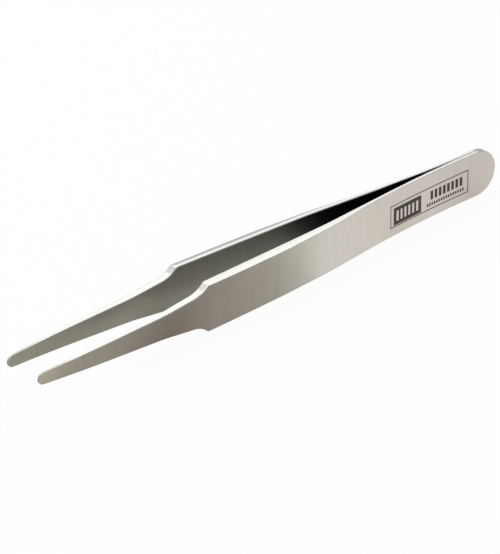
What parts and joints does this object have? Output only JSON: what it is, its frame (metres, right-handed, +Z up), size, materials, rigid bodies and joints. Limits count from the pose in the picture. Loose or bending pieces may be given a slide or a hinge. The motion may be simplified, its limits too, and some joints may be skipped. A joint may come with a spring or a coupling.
{
  "type": "round tip tweezers",
  "caption": "Flat steel tweezers with ground spring blades welded at a round heel, a wide grip, a neck to a slim tapered front, and thin round tips.",
  "frame": {"origin": "bottom centre of the bounding box, halfway along the tweezers and midway between the blades", "axes": "+X towards the heel, +Y from the near blade to the far blade, +Z up across the width of the blades"},
  "size_m": [0.12, 0.0108, 0.0102],
  "materials": {
    "ground_steel": "satin, ground across the blade"
  },
  "bodies": {
    "root": {"far_blade": "ground_steel", "near_blade": "ground_steel"}
  },
  "joints": []
}
